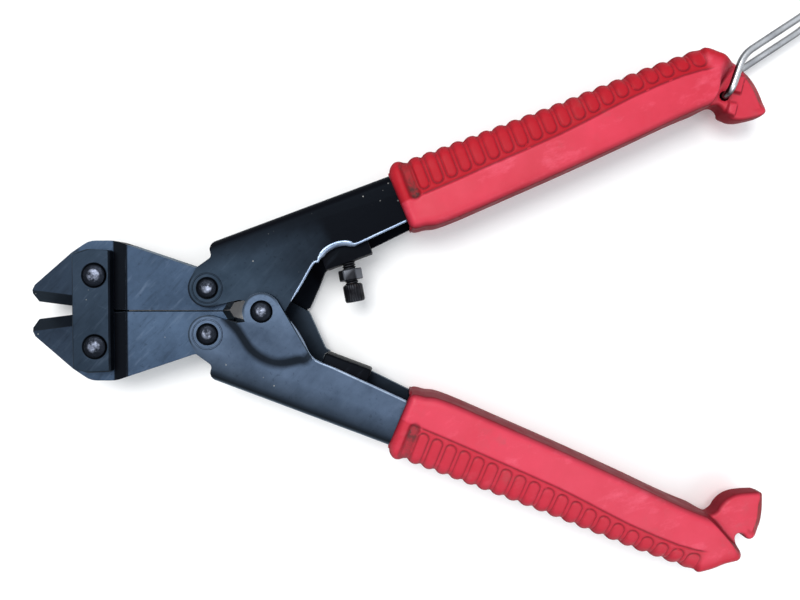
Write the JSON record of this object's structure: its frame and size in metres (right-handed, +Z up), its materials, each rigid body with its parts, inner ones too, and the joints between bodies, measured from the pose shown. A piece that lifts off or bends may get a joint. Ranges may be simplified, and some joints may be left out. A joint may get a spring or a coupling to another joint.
{
  "type": "bolt cutters",
  "caption": "Small hand bolt cutters with bevelled jaws between side plates, a compound linkage, channel handles in red grips, an adjustable stop and a wire latch.",
  "frame": {"origin": "on the centre pivot's axis, at the surface the cutters lie on: the flat back end of the centre pivot rivet", "axes": "+X runs from the jaws to the grips' ends, +Z points up out of the front face, +Y towards the upper handle, which carries the latch"},
  "size_m": [0.2316, 0.1647, 0.0172],
  "materials": {
    "jaw_steel": "black oxide, satin",
    "painted_steel": "gloss black paint",
    "rivet_steel": "dark, domed ends",
    "screw_steel": "dark oxide",
    "red_vinyl": "matte moulded",
    "zinc_wire": "bright zinc"
  },
  "bodies": {
    "head": {"front_side_plate": "jaw_steel", "back_side_plate": "jaw_steel", "upper_jaw_rivet": "rivet_steel", "lower_jaw_rivet": "rivet_steel"},
    "upper_jaw": {"upper_jaw": "jaw_steel"},
    "lower_jaw": {"lower_jaw": "jaw_steel"},
    "upper_handle": {"upper_handle": "painted_steel", "upper_grip": "red_vinyl", "upper_link_rivet": "rivet_steel", "upper_stop_block": "painted_steel"},
    "lower_handle": {"lower_handle": "painted_steel", "lower_grip": "red_vinyl", "lower_link_rivet": "rivet_steel", "lower_stop_block": "painted_steel", "centre_pivot_rivet": "rivet_steel"},
    "stop_screw": {"stop_screw": "screw_steel"},
    "lock_nut": {"lock_nut": "screw_steel"},
    "latch_bail": {"latch_bail": "zinc_wire"}
  },
  "joints": [
    {"name": "upper_handle_swing", "type": "hinge", "parent": "upper_jaw", "child": "upper_handle", "pos_m": [-0.0156, 0.00645, 0.0086], "axis": [0, 0, 1], "range_deg": [-24.07, 0]},
    {"name": "upper_jaw_swing", "type": "hinge", "parent": "head", "child": "upper_jaw", "pos_m": [-0.0468, 0.00995, 0.0086], "axis": [0, 0, 1], "range_deg": [0, 7.65]},
    {"name": "lower_jaw_swing", "type": "hinge", "parent": "head", "child": "lower_jaw", "pos_m": [-0.0468, -0.00995, 0.0086], "axis": [0, 0, 1], "range_deg": [-7.65, 0]},
    {"name": "lower_handle_swing", "type": "hinge", "parent": "lower_jaw", "child": "lower_handle", "pos_m": [-0.0156, -0.00645, 0.0086], "axis": [0, 0, 1], "range_deg": [0, 24.12]},
    {"name": "latch_swing", "type": "hinge", "parent": "upper_handle", "child": "latch_bail", "pos_m": [0.12945, 0.06068, 0.0086], "axis": [0, 0, 1], "range_deg": [-105.03, 3]},
    {"name": "stop_screw_travel", "type": "slide", "parent": "upper_handle", "child": "stop_screw", "axis": [0.1822, -0.9833, 0], "range_m": [-0.001, 0.0009]},
    {"name": "lock_nut_spin", "type": "hinge", "parent": "upper_handle", "child": "lock_nut", "pos_m": [0.02397, 0.0104, 0.0086], "axis": [0.1822, -0.9833, 0], "continuous": true}
  ],
  "couplings": [
    {"joint": "upper_jaw_swing", "follows": "upper_handle_swing", "ratio": -0.3158},
    {"joint": "lower_jaw_swing", "follows": "upper_handle_swing", "ratio": 0.3158},
    {"joint": "lower_handle_swing", "follows": "upper_handle_swing", "ratio": -1}
  ]
}
